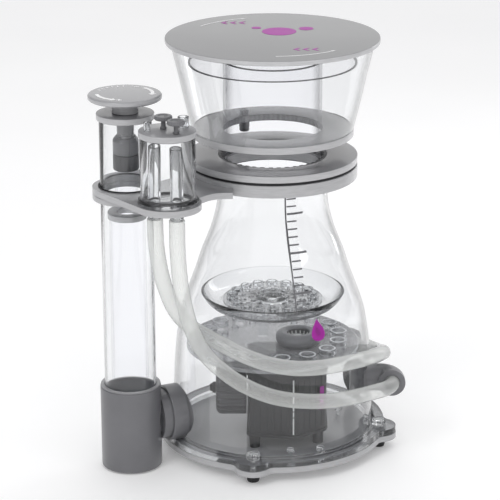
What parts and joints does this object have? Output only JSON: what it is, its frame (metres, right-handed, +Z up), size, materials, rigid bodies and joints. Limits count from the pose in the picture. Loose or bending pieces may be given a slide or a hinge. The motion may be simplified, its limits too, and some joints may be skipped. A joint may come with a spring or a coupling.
{
  "type": "protein skimmer",
  "caption": "Aquarium protein skimmer: bottle shaped body with pump and bubble diffuser, lift-off foam cup, standpipe with a threaded level regulator, and an air silencer with hoses.",
  "frame": {"origin": "centre of the footprint of the skimmer without its air hoses, on the floor under the feet", "axes": "+Z up; +X to the right seen from the front, so the standpipe is at the front left; -Y to the front"},
  "size_m": [0.3834, 0.3438, 0.5235],
  "materials": {
    "clear_acrylic": "polished clear acrylic",
    "light_grey_acrylic": "satin grey acrylic with bright sawn edges",
    "mid_grey_acrylic": "satin grey acrylic",
    "dark_grey_pvc": "moulded PVC",
    "black_plastic": "moulded pump plastic",
    "black_rubber": "matt rubber",
    "white_plastic": "moulded plastic",
    "hose_silicone": "milky silicone hose"
  },
  "bodies": {
    "skimmer": {"base_flange": "clear_acrylic", "body_shell": "clear_acrylic", "bubble_plate": "clear_acrylic", "plate_post_1": "clear_acrylic", "plate_post_2": "clear_acrylic", "plate_post_3": "clear_acrylic", "diffuser_bowl": "clear_acrylic", "diffuser_plate": "clear_acrylic", "bowl_post": "clear_acrylic", "standpipe": "clear_acrylic", "silencer_base": "clear_acrylic", "silencer_tube": "clear_acrylic", "silencer_pipe_1": "clear_acrylic", "silencer_pipe_2": "clear_acrylic", "silencer_vent_1": "clear_acrylic", "silencer_vent_2": "clear_acrylic", "air_port_1": "clear_acrylic", "air_port_2": "clear_acrylic", "base_plate": "light_grey_acrylic", "lower_flange": "light_grey_acrylic", "bracket": "light_grey_acrylic", "bracket_clamp": "light_grey_acrylic", "silencer_cap": "light_grey_acrylic", "pipe_cap": "mid_grey_acrylic", "outlet_tee": "dark_grey_pvc", "air_elbow": "dark_grey_pvc", "rear_air_elbow": "dark_grey_pvc", "pump_block": "black_plastic", "pump_motor": "black_plastic", "pump_volute": "black_plastic", "intake_strainer": "black_plastic", "cable_gland": "black_plastic", "foot_1": "black_rubber", "foot_2": "black_rubber", "foot_3": "black_rubber", "foot_4": "black_rubber", "flange_seal": "black_rubber", "upper_air_hose": "hose_silicone", "lower_air_hose": "hose_silicone"},
    "wheel": {"regulator_wheel": "light_grey_acrylic", "regulator_stem": "mid_grey_acrylic"},
    "sleeve": {"regulator_nut": "dark_grey_pvc", "sleeve_upper": "clear_acrylic", "sleeve_shoulder": "light_grey_acrylic", "sleeve_lower": "clear_acrylic"},
    "valve_1": {"air_valve_1": "dark_grey_pvc"},
    "valve_2": {"air_valve_2": "dark_grey_pvc"},
    "collar": {"lock_ring": "mid_grey_acrylic"},
    "cup": {"riser": "clear_acrylic", "cup_floor": "mid_grey_acrylic", "cup_wall": "clear_acrylic", "drain_nipple": "dark_grey_pvc"},
    "lid": {"lid": "mid_grey_acrylic", "lid_skirt": "clear_acrylic"},
    "pump_rotor": {"impeller": "white_plastic"},
    "screw_1": {"thumbscrew_1": "clear_acrylic"},
    "screw_2": {"thumbscrew_2": "clear_acrylic"},
    "screw_3": {"thumbscrew_3": "clear_acrylic"},
    "screw_4": {"thumbscrew_4": "clear_acrylic"}
  },
  "joints": [
    {"name": "level_wheel_turn", "type": "hinge", "parent": "skimmer", "child": "wheel", "pos_m": [-0.14765, -0.06393, 0.458], "axis": [0, 0, 1], "range_deg": [-660, 660]},
    {"name": "level_sleeve_slide", "type": "slide", "parent": "skimmer", "child": "sleeve", "axis": [0, 0, 1], "range_m": [-0.022, 0.022]},
    {"name": "air_valve_1_turn", "type": "hinge", "parent": "skimmer", "child": "valve_1", "pos_m": [-0.09955, -0.12693, 0.453], "axis": [0, 0, 1], "range_deg": [-90, 270]},
    {"name": "air_valve_2_turn", "type": "hinge", "parent": "skimmer", "child": "valve_2", "pos_m": [-0.08395, -0.14893, 0.453], "axis": [0, 0, 1], "range_deg": [-90, 270]},
    {"name": "cup_collar_twist", "type": "hinge", "parent": "skimmer", "child": "collar", "pos_m": [0.02665, 0.01607, 0.373], "axis": [0, 0, 1], "range_deg": [0, 30]},
    {"name": "cup_lift", "type": "slide", "parent": "collar", "child": "cup", "axis": [0, 0, 1], "range_m": [0, 0.14]},
    {"name": "lid_lift", "type": "slide", "parent": "cup", "child": "lid", "axis": [0, 0, 1], "range_m": [0, 0.06]},
    {"name": "pump_rotor_spin", "type": "hinge", "parent": "skimmer", "child": "pump_rotor", "pos_m": [0.05865, 0.00407, 0.1415], "axis": [0, 0, 1], "continuous": true},
    {"name": "thumbscrew_1_turn", "type": "hinge", "parent": "skimmer", "child": "screw_1", "pos_m": [0.16058, -0.00755, 0.029], "axis": [0, 0, 1], "range_deg": [0, 1080]},
    {"name": "thumbscrew_2_turn", "type": "hinge", "parent": "skimmer", "child": "screw_2", "pos_m": [0.05027, 0.15, 0.029], "axis": [0, 0, 1], "range_deg": [0, 1080]},
    {"name": "thumbscrew_3_turn", "type": "hinge", "parent": "skimmer", "child": "screw_3", "pos_m": [-0.10728, 0.03969, 0.029], "axis": [0, 0, 1], "range_deg": [0, 1080]},
    {"name": "thumbscrew_4_turn", "type": "hinge", "parent": "skimmer", "child": "screw_4", "pos_m": [0.00303, -0.11786, 0.029], "axis": [0, 0, 1], "range_deg": [0, 1080]}
  ],
  "couplings": [
    {"joint": "level_sleeve_slide", "follows": "level_wheel_turn", "m_per_rad": 0.0019}
  ]
}
